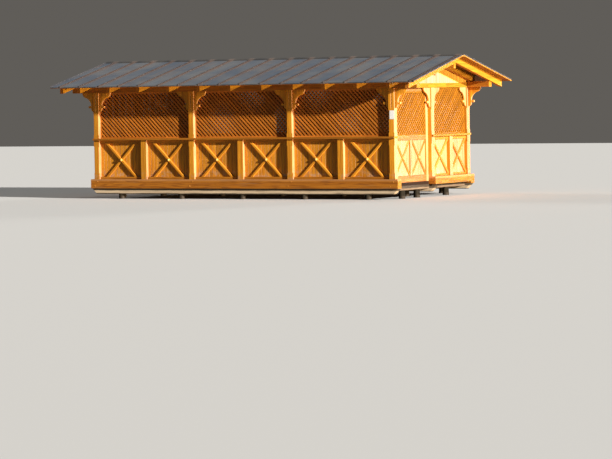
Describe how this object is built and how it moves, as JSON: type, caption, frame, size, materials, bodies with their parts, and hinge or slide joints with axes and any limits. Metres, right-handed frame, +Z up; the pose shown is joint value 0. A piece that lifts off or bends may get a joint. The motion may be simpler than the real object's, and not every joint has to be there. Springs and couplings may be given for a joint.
{
  "type": "boathouse",
  "caption": "Timber lakeside boathouse on short piles, with latticed upper walls, cross-braced lower panels, carved brackets, an inward gate and a low seamed metal roof.",
  "frame": {"origin": "middle of the building's plan at the foot of the piles, where they meet the water line", "axes": "+X along the ridge towards the gated gable, -Y towards the long front wall, +Z up"},
  "size_m": [10.72, 5.56, 3.6158],
  "materials": {
    "stained_timber": "satin",
    "weathered_timber": "matte",
    "pile_wood": "matte",
    "roof_metal": "satin",
    "hinge_iron": "satin",
    "white_plate": "satin"
  },
  "bodies": {
    "building": {"bearers": "weathered_timber", "brackets_back": "stained_timber", "brackets_front": "stained_timber", "brackets_gable": "stained_timber", "cap_rails": "stained_timber", "cross_beams": "weathered_timber", "cross_braces_back": "stained_timber", "cross_braces_front": "stained_timber", "cross_braces_gable": "stained_timber", "floor_boards": "weathered_timber", "floor_joists": "weathered_timber", "gable_boards": "stained_timber", "gate_pins": "hinge_iron", "king_posts": "stained_timber", "lattice_back": "stained_timber", "lattice_front": "stained_timber", "lattice_left": "stained_timber", "lattice_right": "stained_timber", "notice_plate": "white_plate", "panel_boards_back": "stained_timber", "panel_boards_front": "stained_timber", "panel_boards_gable": "stained_timber", "panel_rails_back": "stained_timber", "panel_rails_front": "stained_timber", "panel_rails_gable": "stained_timber", "piles": "pile_wood", "posts_back": "stained_timber", "posts_front": "stained_timber", "posts_gable": "stained_timber", "rafters_back": "stained_timber", "rafters_front": "stained_timber", "ridge_cap": "roof_metal", "ridge_purlin": "stained_timber", "roof_back": "roof_metal", "roof_front": "roof_metal", "sheathing_back": "stained_timber", "sheathing_front": "stained_timber", "short_posts": "stained_timber", "sill_back": "stained_timber", "sill_front": "stained_timber", "sills_gable": "stained_timber", "threshold": "stained_timber", "tie_beams": "stained_timber", "wall_plates": "stained_timber"},
    "gate": {"gate_boards": "stained_timber", "gate_braces": "stained_timber", "gate_frame": "stained_timber", "gate_lattice": "stained_timber", "gate_straps": "hinge_iron"}
  },
  "joints": [
    {"name": "gate_hinge", "type": "hinge", "parent": "building", "child": "gate", "pos_m": [4.288, -1.948, 0.4], "axis": [0, 0, 1], "range_deg": [0, 90]}
  ]
}
